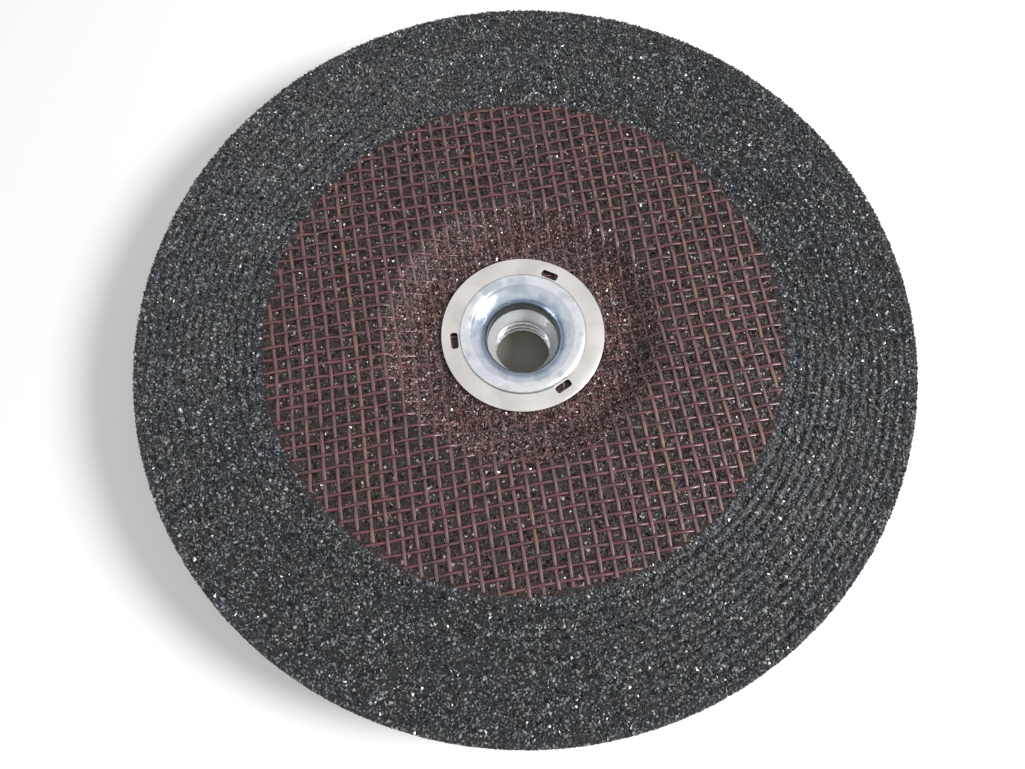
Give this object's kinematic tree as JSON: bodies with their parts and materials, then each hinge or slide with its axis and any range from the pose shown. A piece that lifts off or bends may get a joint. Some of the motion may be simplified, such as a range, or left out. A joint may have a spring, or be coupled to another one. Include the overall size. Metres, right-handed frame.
{
  "type": "grinding disc",
  "caption": "Depressed-centre grinding disc of bonded grain with a woven net on its front, a slotted steel ring and a spin-on threaded hub with a hexagon on the back.",
  "frame": {"origin": "on the disc's axis at the hub's back end face, which is the lowest face of the part as it lies on its back", "axes": "+Z along the disc's axis, out of the front (grinding) face; +X and +Y lie in the plane of the disc"},
  "size_m": [0.1778, 0.1778, 0.0205],
  "materials": {
    "bonded_grain": "rough moulded grain with small bright crystal faces",
    "glass_net": "woven glass yarn coated with dark red resin",
    "tinned_steel": "bright tinned sheet",
    "zinc_steel": "turned and zinc plated, satin"
  },
  "bodies": {
    "root": {"abrasive_disc": "bonded_grain", "front_net": "glass_net", "front_ring": "tinned_steel", "threaded_hub": "zinc_steel"}
  },
  "joints": []
}
